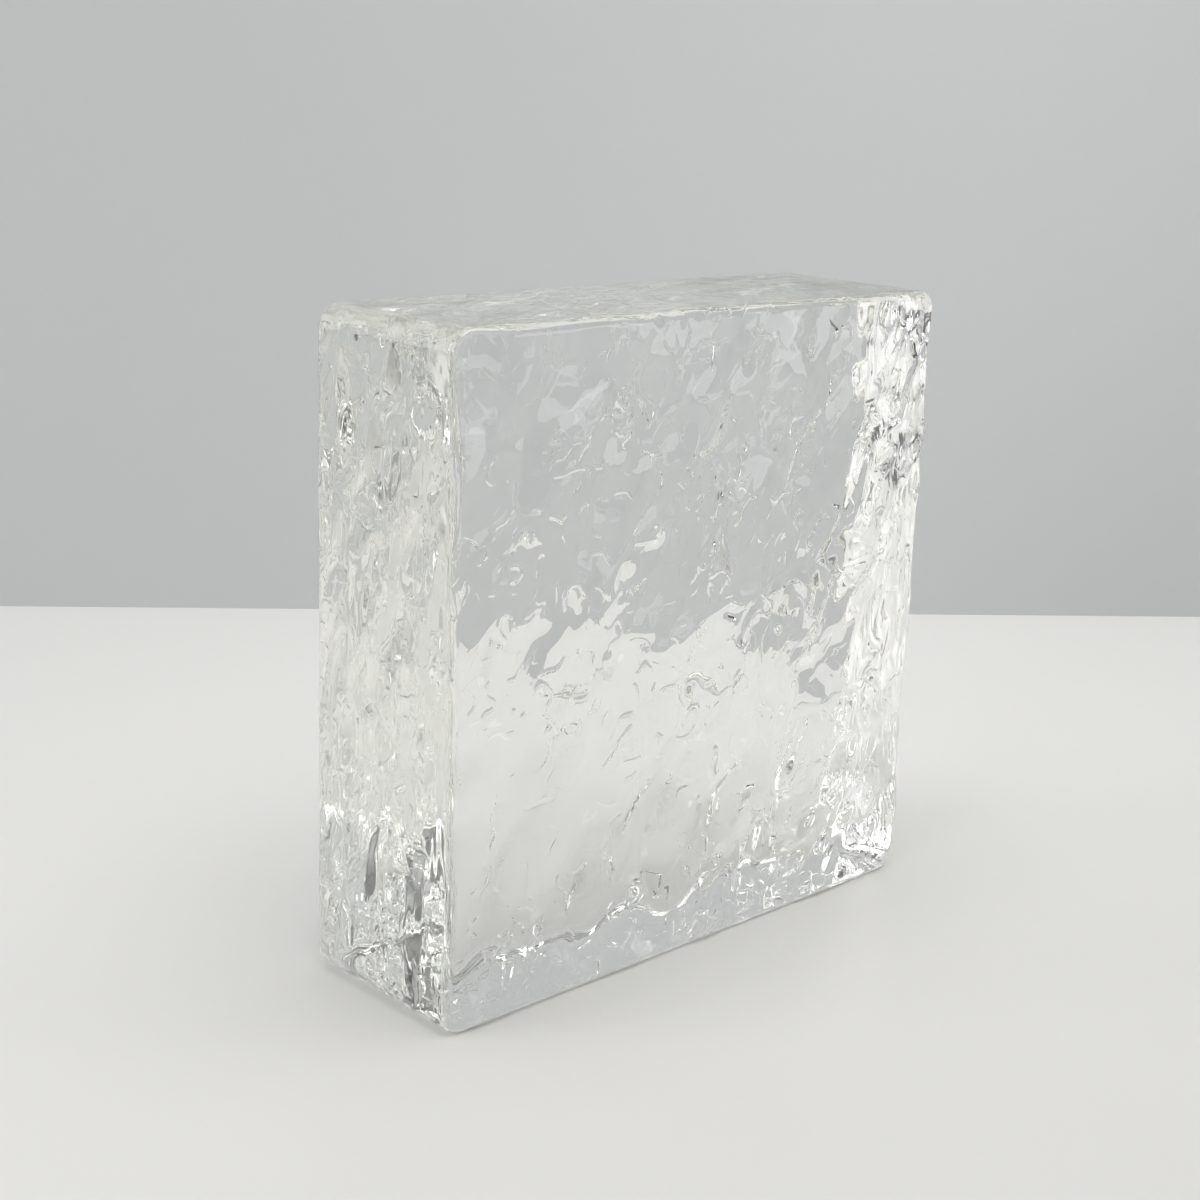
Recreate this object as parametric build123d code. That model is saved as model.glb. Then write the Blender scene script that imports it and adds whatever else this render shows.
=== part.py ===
"""Solid cast-glass tile: a thick square block of clear glass with round edges and slowly waving broad faces.

Millimetres, +Z up. The tile stands on one narrow face, as it is laid in a wall: X runs along its width, Y
through its thickness, and the origin is on the floor under its middle.
"""

import math
import os

from build123d import *

# Outline of the block
WIDTH = 190.0  # along X
HEIGHT = 190.0  # along Z
THICKNESS = 60.0  # along Y, over the flat rims of the two broad faces
CORNER_RADIUS = 7.0  # the four corners of the square outline
EDGE_RADIUS = 3.0  # where the narrow faces turn into the broad ones

# Slow waves that the glass kept on its broad faces as it set in the mould
RIM_WIDTH = 1.5  # flat border between the round edge and the waves
FADE_WIDTH = 14.0  # how far inside the rim the waves reach their full height
WAVE_HEIGHT = 0.8  # most that the glass can stand out of, or sink below, the rim's plane
WAVE_PITCH = 36.0  # crest to crest of the main wave
WAVE_LEAN = 35.0  # degrees below the X axis that the main wave travels

# Each wave train: share of the height, pitch beside the main one, degrees from its way, phase in turns
WAVE_TRAINS = [
    (0.45, 1.00, 0.0, 0.10),
    (0.25, 0.74, 52.0, 0.35),
    (0.18, 1.55, -38.0, 0.62),
    (0.12, 0.66, 101.0, 0.80),
]
SAMPLES_PER_PITCH = 6  # points that carry the spline surface along one main wave

# The square field of waves inside the rim
FIELD_WIDTH = WIDTH - 2 * (EDGE_RADIUS + RIM_WIDTH)
FIELD_HEIGHT = HEIGHT - 2 * (EDGE_RADIUS + RIM_WIDTH)
FIELD_DEPTH = 2 * WAVE_HEIGHT  # how deep the field is set into the block, clear of the lowest trough


def ease(distance):
    """Share of the waves this far inside the field's border: none on it, and all of them past the fade."""
    return math.sin(math.pi / 2 * min(distance / FADE_WIDTH, 1.0)) ** 2


def wave(x, z):
    """How far the glass stands out of the rim's plane at (x, z) from the middle of a broad face."""
    total = 0.0
    for share, pitch, turn, phase in WAVE_TRAINS:
        way = math.radians(turn - WAVE_LEAN)
        along = x * math.cos(way) + z * math.sin(way)
        total += share * math.sin(2 * math.pi * (along / (pitch * WAVE_PITCH) + phase))
    return WAVE_HEIGHT * total * ease(FIELD_WIDTH / 2 - abs(x)) * ease(FIELD_HEIGHT / 2 - abs(z))


def steps(length):
    """Even steps over a length centred on zero, close enough together for a spline to follow the waves."""
    count = math.ceil(length / (WAVE_PITCH / SAMPLES_PER_PITCH))
    return [length * (i / count - 0.5) for i in range(count + 1)]


def wave_field():
    """A square of waves as one spline surface, thickened into the block, with its mean plane at Y = 0."""
    grid = [[Vector(x, wave(x, z), z) for z in steps(FIELD_HEIGHT)] for x in steps(FIELD_WIDTH)]
    surface = Face.make_surface_from_array_of_points(grid, min_deg=3, max_deg=3)
    return extrude(surface, amount=2 * FIELD_DEPTH, dir=(0, -1, 0))


def plain_block():
    """The block with flat broad faces, centred on its middle, with every edge round."""
    outline = Plane.XZ * RectangleRounded(WIDTH, HEIGHT, CORNER_RADIUS)
    block = extrude(outline, amount=THICKNESS / 2, both=True)
    by_depth = block.faces().sort_by(Axis.Y)
    return fillet(by_depth[0].edges() + by_depth[-1].edges(), EDGE_RADIUS)


def glass_tile():
    """The block with a field of waves set into each broad face.

    Both faces take one mould pattern, so the front is the back turned half a turn about the vertical.
    """
    tile = plain_block()
    to_back = Pos(0, THICKNESS / 2, 0)
    bed = to_back * Pos(0, -FIELD_DEPTH / 2, 0) * Box(FIELD_WIDTH, FIELD_DEPTH, FIELD_HEIGHT)
    field = to_back * wave_field()
    for turn in (0, 180):
        tile = tile - Rot(Z=turn) * bed + Rot(Z=turn) * field
    return Pos(0, 0, HEIGHT / 2) * tile


os.makedirs("parts", exist_ok=True)
export_step(glass_tile(), "parts/glass_tile.step")
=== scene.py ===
"""Solid tile of rippled cast glass, standing on one narrow face on a plain stage.

Laid out as an add-on and run as a script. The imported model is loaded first, in metres, and the block is
modelled in the place of its one node.
"""

import math

import bmesh
import bpy
from bpy.props import FloatProperty, FloatVectorProperty, IntProperty, PointerProperty
from bpy.types import Operator, Panel, PropertyGroup
from mathutils import Matrix, Vector


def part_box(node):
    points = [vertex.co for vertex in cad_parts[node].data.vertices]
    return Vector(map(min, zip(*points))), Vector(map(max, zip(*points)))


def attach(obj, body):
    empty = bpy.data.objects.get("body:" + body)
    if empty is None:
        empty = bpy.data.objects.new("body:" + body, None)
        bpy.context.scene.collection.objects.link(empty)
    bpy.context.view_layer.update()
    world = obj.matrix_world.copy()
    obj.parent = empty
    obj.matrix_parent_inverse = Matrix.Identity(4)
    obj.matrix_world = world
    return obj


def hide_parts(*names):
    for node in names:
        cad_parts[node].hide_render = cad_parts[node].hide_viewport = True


bl_info = {
    "name": "Cast Glass Tile",
    "version": (1, 0, 0),
    "blender": (4, 5, 0),
    "location": "View3D > Sidebar > Glass Tile",
    "description": "Models a solid tile of rippled cast glass, and a plain stage to look at it on",
    "category": "Add Mesh",
}

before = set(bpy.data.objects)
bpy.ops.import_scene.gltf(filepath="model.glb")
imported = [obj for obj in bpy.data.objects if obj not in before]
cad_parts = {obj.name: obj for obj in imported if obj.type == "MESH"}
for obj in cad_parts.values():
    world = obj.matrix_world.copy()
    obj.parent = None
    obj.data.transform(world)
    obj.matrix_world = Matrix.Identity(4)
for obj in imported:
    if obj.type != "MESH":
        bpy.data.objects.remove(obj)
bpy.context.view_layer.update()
NODE = "glass_tile"
BODY = "root"
TILE_LOW, TILE_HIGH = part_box(NODE)
MM = 0.001

# Each slow wave train: share of the height, pitch beside the main one, degrees from its way, phase in turns
WAVE_TRAINS = [
    (0.45, 1.00, 0.0, 0.10),
    (0.25, 0.74, 52.0, 0.35),
    (0.18, 1.55, -38.0, 0.62),
    (0.12, 0.66, 101.0, 0.80),
]

# How far apart the features of each pattern in the glass lie
LUMP_PITCH = 17 * MM
RIPPLE_PITCH = 7 * MM
DROP_PITCH = 9 * MM
DENT_PITCH = 12 * MM
STREAK_PITCH = 9 * MM
SKIN_PITCH = 4 * MM
CREASE_PITCH = 7.5 * MM
PATCH_PITCH = 8 * MM  # patches with creases in them
DRIFT_PITCH = 40 * MM  # stretches where the ripples crowd
EDDY_PITCH = 24 * MM  # swirls in the run of the glass

# How the glass ran in the mould
LEAN = 0.35  # how far its run leans to +X for each length upwards
LUMP_STRETCH = 1.3  # how far upwards the lumps, ripples and drops are drawn out
DRAWN_STRETCH = 1.7  # the same for the dents and streaks
LUMP_SWIRL = 5 * MM  # how far the swirls carry the lumps, ripples and drops
DRAWN_SWIRL = 2 * MM  # the same for the dents and streaks

# Dents, with their radii beside the pitch
DENT_FLOOR = 0.06
DENT_RIM = 0.21
DENT_CHANCE = 0.25  # share of the places for one that have it
CROWD_CHANCE = 0.6  # share added where they crowd

# How the relief lies on the plain block
INSET = 0.55 * MM  # its mean level inside the block's surface
STAND_OUT = 1.3 * MM  # most that it rises from that level on a broad face
CLOSE = 1e-6  # points nearer than this lie in one place

# Skin and depth of the glass
CREASE_DEPTH = 0.32 * MM
CREASE_REACH = 0.13  # how far from its middle a crease reaches, in the height of its noise
SKIN_SHARE = 0.42  # the fine ripples' height beside a crease's depth
SKIN_DRAW = (1.0, 1.6, 0.45)  # how the fine ripples crowd along X, Y and Z
GLASS_INDEX = 1.52  # index of refraction
GLASS_DENSITY = 0.8  # how strongly the depth is tinted


def linear(colour):
    """Linear RGB of an sRGB colour written as six hex digits."""
    channels = [int(colour[i : i + 2], 16) / 255 for i in (0, 2, 4)]
    return tuple(c / 12.92 if c <= 0.04045 else ((c + 0.055) / 1.055) ** 2.4 for c in channels)


def add(tree, kind, inputs=None, **settings):
    """Adds a node with its settings, and fills its sockets with constants or with links to other nodes."""
    node = tree.nodes.new(kind)
    for name, value in settings.items():
        setattr(node, name, value)
    for name, value in (inputs or {}).items():
        if isinstance(value, bpy.types.Node):
            value = value.outputs[0]
        if isinstance(value, bpy.types.NodeSocket):
            tree.links.new(value, node.inputs[name])
        else:
            node.inputs[name].default_value = value
    return node


class TileSizes(PropertyGroup):
    """Sizes of the block and of the relief on its faces."""

    width: FloatProperty(
        name="Width", description="Along X", default=TILE_HIGH.x - TILE_LOW.x, unit="LENGTH"
    )
    height: FloatProperty(
        name="Height", description="Along Z", default=TILE_HIGH.z - TILE_LOW.z, unit="LENGTH"
    )
    thickness: FloatProperty(
        name="Thickness", description="Over the rims of the broad faces", default=60 * MM, unit="LENGTH"
    )
    corner_radius: FloatProperty(
        name="Corner radius", description="Corners of the square outline", default=7 * MM, unit="LENGTH"
    )
    edge_radius: FloatProperty(
        name="Edge radius", description="Between narrow and broad faces", default=3 * MM, unit="LENGTH"
    )
    wave_height: FloatProperty(
        name="Wave height", description="Most that a slow wave stands out", default=0.8 * MM, unit="LENGTH"
    )
    wave_pitch: FloatProperty(
        name="Wave pitch", description="Crest to crest of the main wave", default=36 * MM, unit="LENGTH"
    )
    wave_lean: FloatProperty(
        name="Wave lean", description="Main wave's way below X", default=math.radians(35), subtype="ANGLE"
    )
    lump_height: FloatProperty(
        name="Lump height", description="Hammered lumps of the broad faces", default=0.9 * MM, unit="LENGTH"
    )
    ripple_height: FloatProperty(
        name="Ripple height", description="Ripples between the lumps", default=0.7 * MM, unit="LENGTH"
    )
    drop_height: FloatProperty(
        name="Drop height", description="Steep drops to +X and the foot", default=0.9 * MM, unit="LENGTH"
    )
    dent_depth: FloatProperty(
        name="Dent depth", description="Small drop-shaped dents", default=1.1 * MM, unit="LENGTH"
    )
    streak_height: FloatProperty(
        name="Streak height", description="Streaks of the narrow faces", default=0.35 * MM, unit="LENGTH"
    )
    squares: IntProperty(name="Squares", description="Along a broad face's straight side", default=160)
    depth_squares: IntProperty(name="Depth squares", description="Through the thickness", default=40)


class TileLooks(PropertyGroup):
    """Colours of the glass and of the stage."""

    glass: FloatVectorProperty(
        name="Glass", description="Seen in its depth", size=3, subtype="COLOR", default=linear("DADFBC")
    )
    floor: FloatVectorProperty(
        name="Floor", description="Pale floor", size=3, subtype="COLOR", default=linear("DAD9D6")
    )
    backdrop: FloatVectorProperty(
        name="Backdrop", description="Grey wall behind", size=3, subtype="COLOR", default=linear("BFC1C2")
    )


def clear_cast_glass(looks):
    """Clear soda-lime glass, cast in a mould and left fire-bright."""
    glass = bpy.data.materials.new("Clear soda-lime glass, cast")
    glass.use_nodes = True
    tree = glass.node_tree
    tree.nodes.clear()
    place = add(tree, "ShaderNodeTexCoord").outputs["Object"]

    # Fine ripples of the skin, drawn upwards, as full as the relief left them
    drawn = add(tree, "ShaderNodeMapping", {"Vector": place, "Scale": SKIN_DRAW})
    inputs = {"Vector": drawn, "Scale": 1 / SKIN_PITCH, "Detail": 0.0}
    fine = add(tree, "ShaderNodeTexNoise", inputs, normalize=False)
    rippled = add(tree, "ShaderNodeAttribute", attribute_name="rippled").outputs["Fac"]
    skin = add(tree, "ShaderNodeMath", {0: fine, 1: rippled}, operation="MULTIPLY")

    # Hooked creases, about 1 mm wide, where the glass chilled and folded
    inputs = {"Vector": place, "Scale": 1 / CREASE_PITCH, "Detail": 0.0}
    bends = add(tree, "ShaderNodeTexNoise", inputs, normalize=False)
    away = add(tree, "ShaderNodeMath", {0: bends}, operation="ABSOLUTE")
    inputs = {"Value": away, "From Min": 0.0, "From Max": CREASE_REACH, "To Min": -1.0, "To Max": 0.0}
    line = add(tree, "ShaderNodeMapRange", inputs, interpolation_type="SMOOTHSTEP")
    creased = add(tree, "ShaderNodeAttribute", attribute_name="creased").outputs["Fac"]
    fold = add(tree, "ShaderNodeMath", {0: line, 1: creased}, operation="MULTIPLY")
    height = add(tree, "ShaderNodeMath", {0: skin, 1: SKIN_SHARE, 2: fold}, operation="MULTIPLY_ADD")
    relief = add(tree, "ShaderNodeBump", {"Height": height, "Distance": CREASE_DEPTH, "Strength": 1.0})

    # Water-clear, with sharp glints: it bends what lies behind it, and its depth has a breath of green
    inputs = {"Base Color": (1, 1, 1, 1), "Roughness": 0.0, "IOR": GLASS_INDEX, "Transmission Weight": 1.0}
    shader = add(tree, "ShaderNodeBsdfPrincipled", {**inputs, "Normal": relief})
    depth = add(tree, "ShaderNodeVolumeAbsorption", {"Color": (*looks.glass, 1), "Density": GLASS_DENSITY})
    add(tree, "ShaderNodeOutputMaterial", {"Surface": shader, "Volume": depth})
    return glass


def flow(tree, place, lean, stretch, swirl):
    """Coordinates that lean, stretch upwards and swirl a little, as the glass ran to fill the mould."""
    at = add(tree, "ShaderNodeSeparateXYZ", {"Vector": place})
    inputs = {0: at.outputs["Z"], 1: -lean, 2: at.outputs["X"]}
    across = add(tree, "ShaderNodeMath", inputs, operation="MULTIPLY_ADD")
    upward = add(tree, "ShaderNodeMath", {0: at.outputs["Z"], 1: 1 / stretch}, operation="MULTIPLY")
    straight = add(tree, "ShaderNodeCombineXYZ", {"X": across, "Y": at.outputs["Y"], "Z": upward})
    inputs = {"Vector": place, "Scale": 1 / EDDY_PITCH, "Detail": 0.0}
    eddies = add(tree, "ShaderNodeTexNoise", inputs, normalize=False)
    inputs = {0: eddies.outputs["Color"], 1: (swirl, swirl, swirl), 2: straight}
    return add(tree, "ShaderNodeVectorMath", inputs, operation="MULTIPLY_ADD")


def lumps(tree, place, layers):
    """Sum of signed noises, each with its pitch and a height that may vary over the glass."""
    total = 0.0
    for pitch, height in layers:
        inputs = {"Vector": place, "Scale": 1 / pitch, "Detail": 0.0}
        layer = add(tree, "ShaderNodeTexNoise", inputs, normalize=False)
        total = add(tree, "ShaderNodeMath", {0: layer, 1: height, 2: total}, operation="MULTIPLY_ADD")
    return total


def slow_waves(tree, place, side, sizes):
    """The broad faces' slow waves. The front takes the back's, turned half a turn about the vertical."""
    turned = add(tree, "ShaderNodeCombineXYZ", {"X": side, "Y": side, "Z": 1.0})
    middle = (0.0, 0.0, sizes.height / 2)
    centred = add(tree, "ShaderNodeVectorMath", {0: place, 1: middle}, operation="SUBTRACT")
    on_back = add(tree, "ShaderNodeVectorMath", {0: centred, 1: turned}, operation="MULTIPLY")
    total = 0.0
    for share, pitch, turn, phase in WAVE_TRAINS:
        way = math.radians(turn) - sizes.wave_lean
        per_metre = 2 * math.pi / (pitch * sizes.wave_pitch)
        course = (math.cos(way) * per_metre, 0.0, math.sin(way) * per_metre)
        run = add(tree, "ShaderNodeVectorMath", {0: on_back, 1: course}, operation="DOT_PRODUCT")
        inputs = {0: run.outputs["Value"], 1: 2 * math.pi * phase}
        angle = add(tree, "ShaderNodeMath", inputs, operation="ADD")
        swell = add(tree, "ShaderNodeMath", {0: angle}, operation="SINE")
        inputs = {0: swell, 1: share * sizes.wave_height, 2: total}
        total = add(tree, "ShaderNodeMath", inputs, operation="MULTIPLY_ADD")
    return total


def dents(tree, place, crowding):
    """Drop-shaped dents, about 5 mm across: in a few of the places for one, in most where they crowd."""
    cells = add(tree, "ShaderNodeTexVoronoi", {"Vector": place, "Scale": 1 / DENT_PITCH})
    away = cells.outputs["Distance"]
    inputs = {"Value": away, "From Min": DENT_FLOOR, "From Max": DENT_RIM, "To Min": 1.0, "To Max": 0.0}
    bowl = add(tree, "ShaderNodeMapRange", inputs, interpolation_type="SMOOTHSTEP")
    lot = add(tree, "ShaderNodeSeparateXYZ", {"Vector": cells.outputs["Color"]})
    inputs = {0: crowding, 1: CROWD_CHANCE, 2: lot.outputs["X"]}
    chance = add(tree, "ShaderNodeMath", inputs, operation="MULTIPLY_ADD")
    dented = add(tree, "ShaderNodeMath", {0: chance, 1: 1 - DENT_CHANCE}, operation="GREATER_THAN")
    return add(tree, "ShaderNodeMath", {0: bowl, 1: dented}, operation="MULTIPLY")


def cast_relief(sizes):
    """Geometry nodes that push a surface along its normals by the waves and relief of cast glass."""
    tree = bpy.data.node_groups.new("Cast relief", "GeometryNodeTree")
    tree.interface.new_socket(name="Geometry", in_out="INPUT", socket_type="NodeSocketGeometry")
    tree.interface.new_socket(name="Geometry", in_out="OUTPUT", socket_type="NodeSocketGeometry")
    shape = add(tree, "NodeGroupInput").outputs["Geometry"]
    place = add(tree, "GeometryNodeInputPosition")
    normal = add(tree, "GeometryNodeInputNormal")
    facing = add(tree, "ShaderNodeSeparateXYZ", {"Vector": normal})
    depthwise, upright = facing.outputs["Y"], facing.outputs["Z"]
    side = add(tree, "ShaderNodeMath", {0: depthwise}, operation="SIGN")
    broad = add(tree, "ShaderNodeMath", {0: depthwise, 1: depthwise}, operation="MULTIPLY")

    # The glass is rougher in stretches, and toward +X and the foot, where it chilled first
    inputs = {"Vector": place, "Scale": 1 / DRIFT_PITCH, "Detail": 0.0}
    drift = add(tree, "ShaderNodeTexNoise", inputs, normalize=False)
    inputs = {"Value": drift, "From Min": -0.2, "From Max": 0.3, "To Min": 0.3, "To Max": 1.0}
    crowd = add(tree, "ShaderNodeMapRange", inputs, interpolation_type="SMOOTHSTEP")
    spot = add(tree, "ShaderNodeSeparateXYZ", {"Vector": place})
    inputs = {0: spot.outputs["Z"], 1: -LEAN, 2: spot.outputs["X"]}
    footward = add(tree, "ShaderNodeMath", inputs, operation="MULTIPLY_ADD")
    inputs = {"Value": footward, "From Min": -45 * MM, "From Max": 25 * MM, "To Min": 0.0, "To Max": 1.0}
    chilled = add(tree, "ShaderNodeMapRange", inputs, interpolation_type="SMOOTHSTEP")
    inputs = {"Value": footward, "From Min": -100 * MM, "From Max": 20 * MM, "To Min": 0.3, "To Max": 1.0}
    settled = add(tree, "ShaderNodeMapRange", inputs, interpolation_type="SMOOTHSTEP")
    rough = add(tree, "ShaderNodeMath", {0: crowd, 1: settled}, operation="MULTIPLY")

    # Broad faces: lumps, ripples, drops and dents over the slow waves, held back where they rise furthest
    ripples = add(tree, "ShaderNodeMath", {0: rough, 1: sizes.ripple_height}, operation="MULTIPLY")
    drops = add(tree, "ShaderNodeMath", {0: chilled, 1: sizes.drop_height}, operation="MULTIPLY")
    layers = [(LUMP_PITCH, sizes.lump_height), (RIPPLE_PITCH, ripples), (DROP_PITCH, drops)]
    hammered = lumps(tree, flow(tree, place, LEAN, LUMP_STRETCH, LUMP_SWIRL), layers)
    drawn = flow(tree, place, 0.0, DRAWN_STRETCH, DRAWN_SWIRL)
    inputs = {0: dents(tree, drawn, chilled), 1: -sizes.dent_depth, 2: hammered}
    dented = add(tree, "ShaderNodeMath", inputs, operation="MULTIPLY_ADD")
    waves = slow_waves(tree, place, side, sizes)
    rolling = add(tree, "ShaderNodeMath", {0: dented, 1: waves}, operation="ADD")
    rolling = add(tree, "ShaderNodeMath", {0: rolling, 1: STAND_OUT}, operation="MINIMUM")

    # Narrow faces: upright streaks on the ends, and calmer ones on the top
    inputs = {"Value": upright, "From Min": 0.2, "From Max": 0.9, "To Min": 1.0, "To Max": 0.4}
    calm = add(tree, "ShaderNodeMapRange", inputs, interpolation_type="SMOOTHSTEP")
    streak = add(tree, "ShaderNodeMath", {0: calm, 1: sizes.streak_height}, operation="MULTIPLY")
    streaks = lumps(tree, drawn, [(STREAK_PITCH, streak)])
    relief = add(tree, "ShaderNodeMix", {"Factor": broad, "A": streaks, "B": rolling}, data_type="FLOAT")

    # The bed is flat, as the glass lay on the mould's floor
    inputs = {"Value": upright, "From Min": -0.95, "From Max": -0.2, "To Min": 0.0, "To Max": 1.0}
    off_bed = add(tree, "ShaderNodeMapRange", inputs, interpolation_type="SMOOTHSTEP")
    inset = add(tree, "ShaderNodeMath", {0: relief, 1: -INSET}, operation="ADD")
    height = add(tree, "ShaderNodeMath", {0: inset, 1: off_bed}, operation="MULTIPLY")
    offset = add(tree, "ShaderNodeVectorMath", {0: normal, "Scale": height}, operation="SCALE")

    # How full the glass material draws its fine ripples and its creases
    ends = add(tree, "ShaderNodeMath", {0: calm, 1: settled}, operation="MULTIPLY")
    skin = add(tree, "ShaderNodeMix", {"Factor": broad, "A": ends, "B": rough}, data_type="FLOAT")
    rippled = add(tree, "ShaderNodeMath", {0: skin, 1: off_bed}, operation="MULTIPLY")
    inputs = {"Vector": place, "Scale": 1 / PATCH_PITCH, "Detail": 0.0}
    patches = add(tree, "ShaderNodeTexNoise", inputs, normalize=False)
    inputs = {"Value": patches, "From Min": 0.08, "From Max": 0.32, "To Min": 0.0, "To Max": 0.9}
    folded = add(tree, "ShaderNodeMapRange", inputs, interpolation_type="SMOOTHSTEP")
    creased = add(tree, "ShaderNodeMath", {0: folded, 1: crowd}, operation="MULTIPLY")
    for name, value in (("rippled", rippled), ("creased", creased)):
        inputs = {"Geometry": shape, "Name": name, "Value": value}
        shape = add(tree, "GeometryNodeStoreNamedAttribute", inputs, data_type="FLOAT", domain="POINT")
    pushed = add(tree, "GeometryNodeSetPosition", {"Geometry": shape, "Offset": offset})
    add(tree, "NodeGroupOutput", {"Geometry": pushed})
    return tree


def select_edges(block, wanted):
    """Selects the edges of a block in edit mode whose two ends pass a test."""
    bpy.ops.mesh.select_mode(type="EDGE")
    bpy.ops.mesh.select_all(action="DESELECT")
    shape = bmesh.from_edit_mesh(block.data)
    for edge in shape.edges:
        edge.select_set(wanted(*(end.co for end in edge.verts)))
    shape.select_flush_mode()
    bmesh.update_edit_mesh(block.data)


def along(axis, least=0.0):
    """A test for edges that run along one axis and are longer than the least."""
    others = [i for i in range(3) if i != axis]
    return lambda a, b: all(abs(a[i] - b[i]) < CLOSE for i in others) and abs(a[axis] - b[axis]) > least


class AddGlassBlock(Operator):
    """Adds the cast glass block with round edges, slow waves and hammered relief"""

    bl_idname = "glass_tile.add_block"
    bl_label = "Add glass block"

    def execute(self, context):
        sizes = context.scene.tile_sizes
        bpy.ops.object.select_all(action="DESELECT")
        bpy.ops.mesh.primitive_cube_add(size=1, location=(0, 0, sizes.height / 2))
        block = context.object
        block.name = "cast_glass_block"
        block.scale = (sizes.width, sizes.thickness, sizes.height)
        bpy.ops.object.transform_apply(location=True, rotation=True, scale=True)

        # Round the outline's corners, then the rims of both broad faces
        bpy.ops.object.mode_set(mode="EDIT")
        corner_steps, edge_steps = 8, 6
        select_edges(block, along(1))
        bpy.ops.mesh.bevel(offset=sizes.corner_radius, segments=corner_steps, profile=0.5, affect="EDGES")
        half = sizes.thickness / 2
        select_edges(block, lambda a, b: abs(abs(a.y) - half) < CLOSE and abs(a.y - b.y) < CLOSE)
        bpy.ops.mesh.bevel(offset=sizes.edge_radius, segments=edge_steps, profile=0.5, affect="EDGES")

        # Open the broad faces
        bpy.ops.mesh.select_mode(type="FACE")
        bpy.ops.mesh.select_all(action="DESELECT")
        shape = bmesh.from_edit_mesh(block.data)
        for face in shape.faces:
            face.select_set(abs(face.normal.y) > 0.999)
        bmesh.update_edit_mesh(block.data)
        bpy.ops.mesh.delete(type="ONLY_FACE")

        # Cut the narrow faces into squares, coarse and then fine, and fill the broad faces with squares
        coarse = 16
        least_side, least_square = 20 * MM, 5 * MM
        for axis in (0, 2):
            select_edges(block, along(axis, least_side))
            bpy.ops.mesh.subdivide(number_cuts=coarse - 1)
            select_edges(block, along(axis, least_square))
            bpy.ops.mesh.subdivide(number_cuts=sizes.squares // coarse - 1)
        select_edges(block, along(1, least_side))
        bpy.ops.mesh.subdivide(number_cuts=sizes.depth_squares - 1)
        for side in (-half, half):
            select_edges(block, lambda a, b: abs(a.y - side) < CLOSE and abs(b.y - side) < CLOSE)
            bpy.ops.mesh.fill_grid(span=sizes.squares + corner_steps)
        bpy.ops.mesh.select_all(action="SELECT")
        bpy.ops.mesh.normals_make_consistent(inside=False)
        bpy.ops.object.mode_set(mode="OBJECT")

        relief = block.modifiers.new("Cast relief", "NODES")
        relief.node_group = cast_relief(sizes)
        bpy.ops.object.modifier_apply(modifier=relief.name)
        bpy.ops.object.shade_smooth()
        block.data.materials.clear()
        block.data.materials.append(clear_cast_glass(context.scene.tile_looks))
        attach(block, BODY)
        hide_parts(NODE)
        return {"FINISHED"}


def stage_paint(name, colour, roughness):
    """Plain paint of one colour for the stage. Seen from behind, it lets the view through."""
    paint = bpy.data.materials.new(name)
    paint.use_nodes = True
    tree = paint.node_tree
    tree.nodes.clear()
    front = add(tree, "ShaderNodeBsdfPrincipled", {"Base Color": (*colour, 1), "Roughness": roughness})
    back = add(tree, "ShaderNodeBsdfTransparent")
    behind = add(tree, "ShaderNodeNewGeometry").outputs["Backfacing"]
    seen = add(tree, "ShaderNodeMixShader", {0: behind, 1: front, 2: back})
    add(tree, "ShaderNodeOutputMaterial", {"Surface": seen})
    return paint


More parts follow.
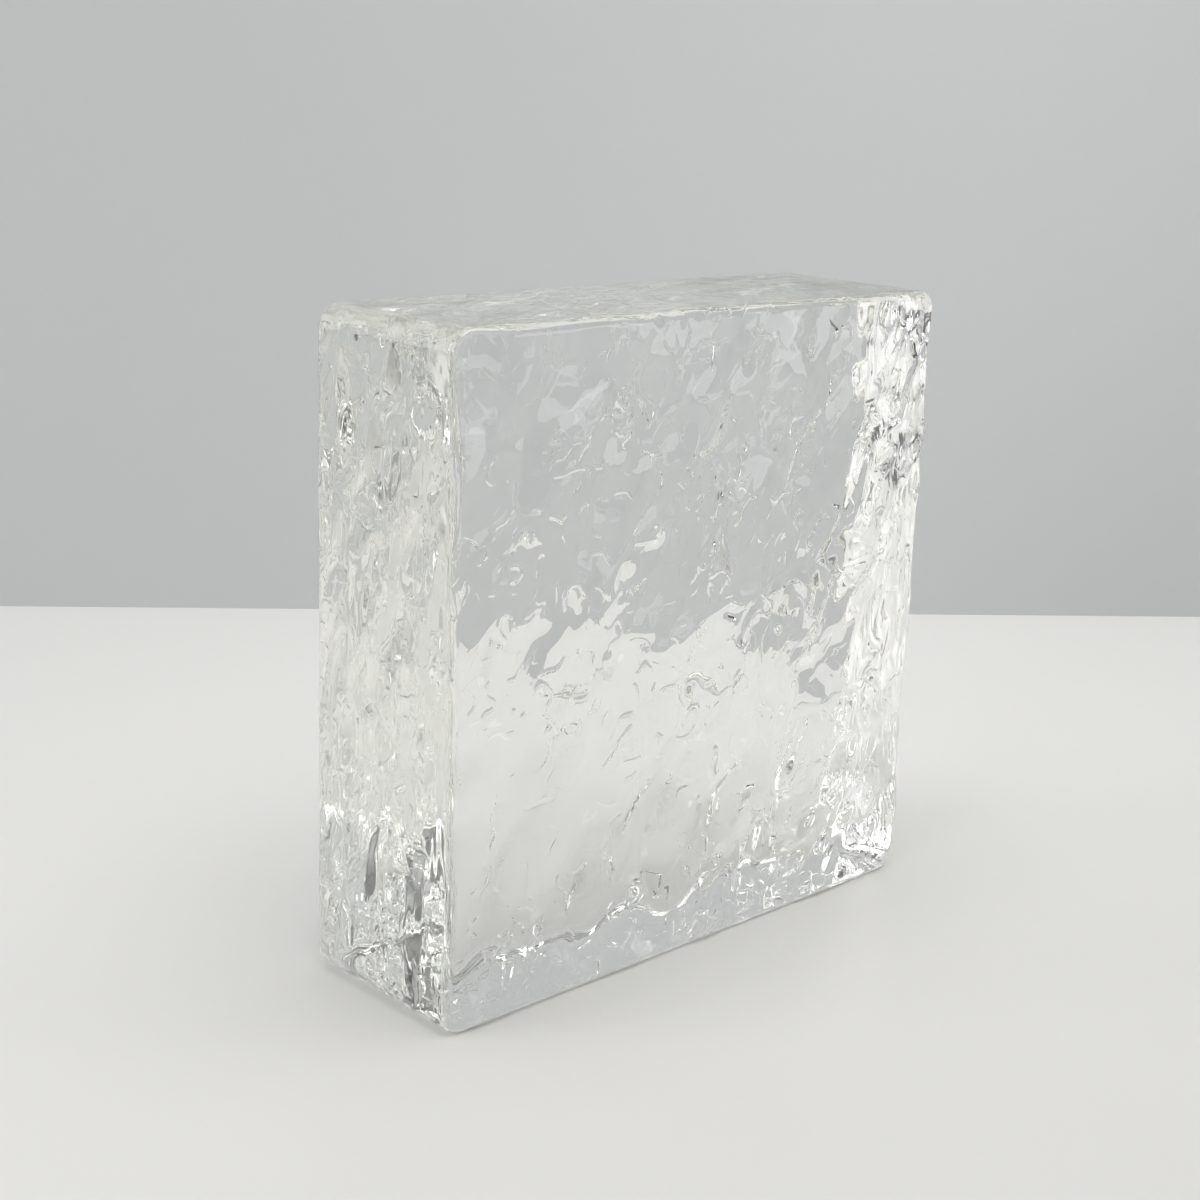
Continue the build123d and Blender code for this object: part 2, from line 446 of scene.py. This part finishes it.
class AddStage(Operator):
    """Adds the floor, the backdrop, the lights and the camera"""

    bl_idname = "glass_tile.add_stage"
    bl_label = "Add stage"

    def execute(self, context):
        looks = context.scene.tile_looks
        middle = Vector((0, 0, context.scene.tile_sizes.height / 2))
        bpy.ops.object.select_all(action="DESELECT")

        # The floor lies a hair below the bed, so that a film of air stays between them
        floor_width, air_film = 12, 0.1 * MM
        bpy.ops.mesh.primitive_plane_add(size=floor_width, location=(0, 0, -air_film))
        floor = context.object
        floor.name = "stage_floor"
        floor.data.materials.append(stage_paint("Stage floor, satin", looks.floor, 0.38))

        # The backdrop stands upright behind the tile, square to the camera, with its foot on the floor
        foot = Vector((0.2117, 0.2714, 0.0))
        wall_width, wall_height = 5, 3
        bpy.ops.mesh.primitive_plane_add(size=1, location=foot + Vector((0, 0, wall_height / 2)))
        backdrop = context.object
        backdrop.name = "stage_backdrop"
        backdrop.scale = (wall_width, wall_height, 1)
        backdrop.rotation_euler = (math.pi / 2, 0, math.atan2(-foot.x, foot.y))
        backdrop.data.materials.append(stage_paint("Stage backdrop, matt", looks.backdrop, 1.0))

        # Name, place, aim, width, height, spread in degrees and watts of each soft light
        wall_foot = Vector((0.36, 0.16, 0.12))
        for name, spot, aim, width, height, spread, watts in (
            ("Window light", (-1.40, 0.18, 0.75), middle, 1.6, 0.9, 180, 13.5),
            ("Top light", (0.05, -0.20, 1.60), middle, 1.4, 1.4, 180, 19.5),
            ("Wall light", (0.10, -0.35, 0.70), wall_foot, 0.4, 0.3, 70, 0.36),
            ("Side light", (-1.15, 0.85, 0.50), middle, 0.75, 0.7, 180, 2.0),
            ("Low light", (0.95, -1.05, 0.13), middle, 0.6, 0.22, 180, 0.8),
        ):
            lamp = bpy.data.lights.new(name, "AREA")
            lamp.shape = "RECTANGLE"
            lamp.size = width
            lamp.size_y = height
            lamp.energy = watts
            lamp.spread = math.radians(spread)
            rig = bpy.data.objects.new(name, lamp)
            rig.location = spot
            rig.rotation_euler = (aim - rig.location).to_track_quat("-Z", "Y").to_euler()
            rig.visible_camera = False
            context.scene.collection.objects.link(rig)

        # An even room, darker low down in front, which only the glass and the floor see
        room_light, front_shade = 0.20, 0.16
        world = bpy.data.worlds.new("Soft studio")
        world.use_nodes = True
        tree = world.node_tree
        tree.nodes.clear()
        toward = add(tree, "ShaderNodeTexCoord").outputs["Generated"]
        way = add(tree, "ShaderNodeSeparateXYZ", {"Vector": toward})
        ahead, up = way.outputs["Y"], way.outputs["Z"]
        inputs = {"Value": ahead, "From Min": -0.35, "From Max": 0.1, "To Min": 1.0, "To Max": 0.0}
        in_front = add(tree, "ShaderNodeMapRange", inputs, interpolation_type="SMOOTHSTEP")
        inputs = {"Value": up, "From Min": 0.2, "From Max": 0.5, "To Min": 1.0, "To Max": 0.0}
        low_down = add(tree, "ShaderNodeMapRange", inputs, interpolation_type="SMOOTHSTEP")
        shade = add(tree, "ShaderNodeMath", {0: in_front, 1: low_down}, operation="MULTIPLY")
        direct = add(tree, "ShaderNodeLightPath").outputs["Is Camera Ray"]
        unseen = add(tree, "ShaderNodeMath", {0: 1.0, 1: direct}, operation="SUBTRACT")
        shade = add(tree, "ShaderNodeMath", {0: shade, 1: unseen}, operation="MULTIPLY")
        inputs = {0: shade, 1: -front_shade, 2: room_light}
        level = add(tree, "ShaderNodeMath", inputs, operation="MULTIPLY_ADD")
        room = add(tree, "ShaderNodeBackground", {"Color": (1, 1, 1, 1), "Strength": level})
        add(tree, "ShaderNodeOutputWorld", {"Surface": room})
        context.scene.world = world

        # The camera stands at the photograph's viewing angle
        yaw, pitch, roll = math.radians(43.93), math.radians(15.23), math.radians(2.12)
        turn = Matrix.Rotation(-yaw, 4, "Z") @ Matrix.Rotation(math.pi / 2 - pitch, 4, "X")
        camera = bpy.data.cameras.new("Camera")
        camera.sensor_width = 36
        camera.lens = 58.8
        seat = bpy.data.objects.new("Camera", camera)
        eye = Matrix.Translation((-0.3955, -0.3948, 0.2517))
        seat.matrix_world = eye @ turn @ Matrix.Rotation(roll, 4, "Z")
        context.scene.collection.objects.link(seat)
        context.scene.camera = seat

        # Light passes many faces inside the block
        cycles = context.scene.cycles
        cycles.max_bounces = 12
        cycles.transmission_bounces = 12
        cycles.glossy_bounces = 12
        cycles.diffuse_bounces = 2
        cycles.transparent_max_bounces = 16
        context.scene.view_settings.view_transform = "Standard"
        return {"FINISHED"}


class GlassTilePanel(Panel):
    """Sizes, colours and buttons of the glass tile"""

    bl_idname = "VIEW3D_PT_glass_tile"
    bl_label = "Glass Tile"
    bl_space_type = "VIEW_3D"
    bl_region_type = "UI"
    bl_category = "Glass Tile"

    def draw(self, context):
        for group in (context.scene.tile_sizes, context.scene.tile_looks):
            for name in group.__annotations__:
                self.layout.prop(group, name)
        self.layout.operator(AddGlassBlock.bl_idname)
        self.layout.operator(AddStage.bl_idname)


CLASSES = (TileSizes, TileLooks, AddGlassBlock, AddStage, GlassTilePanel)


def register():
    for part in CLASSES:
        bpy.utils.register_class(part)
    bpy.types.Scene.tile_sizes = PointerProperty(type=TileSizes)
    bpy.types.Scene.tile_looks = PointerProperty(type=TileLooks)


def unregister():
    del bpy.types.Scene.tile_looks
    del bpy.types.Scene.tile_sizes
    for part in reversed(CLASSES):
        bpy.utils.unregister_class(part)


def main():
    register()
    bpy.ops.glass_tile.add_block()
    bpy.ops.glass_tile.add_stage()


if __name__ == "__main__":
    main()
